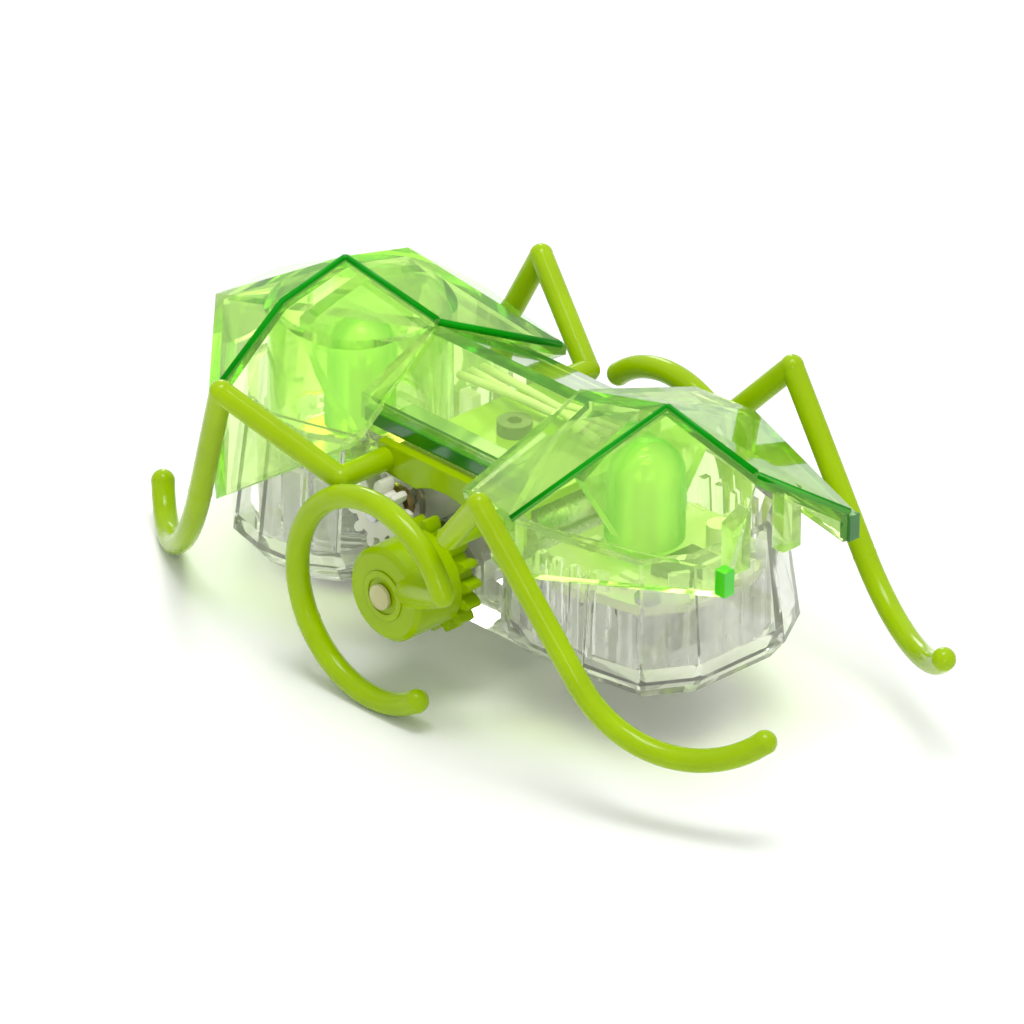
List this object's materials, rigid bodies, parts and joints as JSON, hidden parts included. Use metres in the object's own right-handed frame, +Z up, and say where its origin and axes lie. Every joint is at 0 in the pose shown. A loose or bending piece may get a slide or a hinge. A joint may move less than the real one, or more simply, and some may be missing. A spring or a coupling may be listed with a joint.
{
  "type": "six-legged walking toy",
  "caption": "Small battery walking toy shaped like an ant: clear housing, tinted faceted shell, fixed front and rear legs, and curved middle legs that a motor turns.",
  "frame": {"origin": "centre of the bounding box at table height, under the waist", "axes": "+X towards the front lobe, +Y to the far side of the picture, +Z up"},
  "size_m": [0.0692, 0.0348, 0.0256],
  "materials": {
    "lime_plastic": "opaque gloss, lime",
    "green_clear": "transparent green plastic",
    "clear_plastic": "clear plastic",
    "steel": "bright",
    "brass": "satin",
    "nylon": "natural white nylon",
    "black_plastic": "black",
    "board_green": "circuit board",
    "lead_red": "wire sleeve"
  },
  "bodies": {
    "chassis": {"housing": "clear_plastic", "leg_frame": "lime_plastic", "frame_screw": "black_plastic", "hub_pins": "steel", "lay_bushes": "brass", "idler_pin": "steel", "motor_can": "steel", "motor_end": "nylon", "circuit_board": "board_green", "control_chip": "black_plastic", "board_parts": "brass", "sensor_front": "steel", "sensor_rear": "steel", "switch_body": "black_plastic", "button_cell": "steel", "top_contact": "brass", "motor_leads": "lead_red", "cell_leads": "black_plastic", "body_screws": "steel"},
    "shell": {"shell": "green_clear"},
    "near_leg": {"wheg_near": "lime_plastic"},
    "far_leg": {"wheg_far": "lime_plastic"},
    "layshaft": {"layshaft": "steel", "lay_wheel": "nylon", "pinion_near": "nylon", "pinion_far": "nylon"},
    "idler": {"idler_gear": "nylon"},
    "rotor": {"motor_shaft": "steel", "motor_pinion": "brass"},
    "door": {"battery_door": "clear_plastic", "door_contact": "brass"},
    "switch": {"switch_knob": "black_plastic"}
  },
  "joints": [
    {"name": "near_leg_spin", "type": "hinge", "parent": "chassis", "child": "near_leg", "pos_m": [-0.00118, 0, 0.009], "axis": [0, 1, 0], "continuous": true},
    {"name": "far_leg_spin", "type": "hinge", "parent": "chassis", "child": "far_leg", "pos_m": [-0.00118, 0, 0.009], "axis": [0, 1, 0], "continuous": true},
    {"name": "layshaft_spin", "type": "hinge", "parent": "chassis", "child": "layshaft", "pos_m": [-0.00698, 0, 0.01193], "axis": [0, 1, 0], "continuous": true},
    {"name": "idler_spin", "type": "hinge", "parent": "chassis", "child": "idler", "pos_m": [-0.00218, 0, 0.01193], "axis": [0, 1, 0], "continuous": true},
    {"name": "motor_spin", "type": "hinge", "parent": "chassis", "child": "rotor", "pos_m": [0.00262, 0, 0.01193], "axis": [0, 1, 0], "continuous": true},
    {"name": "shell_bump", "type": "slide", "parent": "chassis", "child": "shell", "axis": [1, 0, 0], "range_m": [-0.0005, 0.0005], "stiffness_N_per_m": 60},
    {"name": "door_turn", "type": "hinge", "parent": "chassis", "child": "door", "pos_m": [-0.01858, 0, 0.0043], "axis": [0, 0, 1], "range_deg": [0, 36]},
    {"name": "switch_slide", "type": "slide", "parent": "chassis", "child": "switch", "axis": [1, 0, 0], "range_m": [0, 0.0024]}
  ],
  "couplings": [
    {"joint": "far_leg_spin", "follows": "near_leg_spin", "ratio": 1},
    {"joint": "layshaft_spin", "follows": "near_leg_spin", "ratio": -1.6},
    {"joint": "idler_spin", "follows": "near_leg_spin", "ratio": 4.8},
    {"joint": "motor_spin", "follows": "near_leg_spin", "ratio": -14.4}
  ]
}
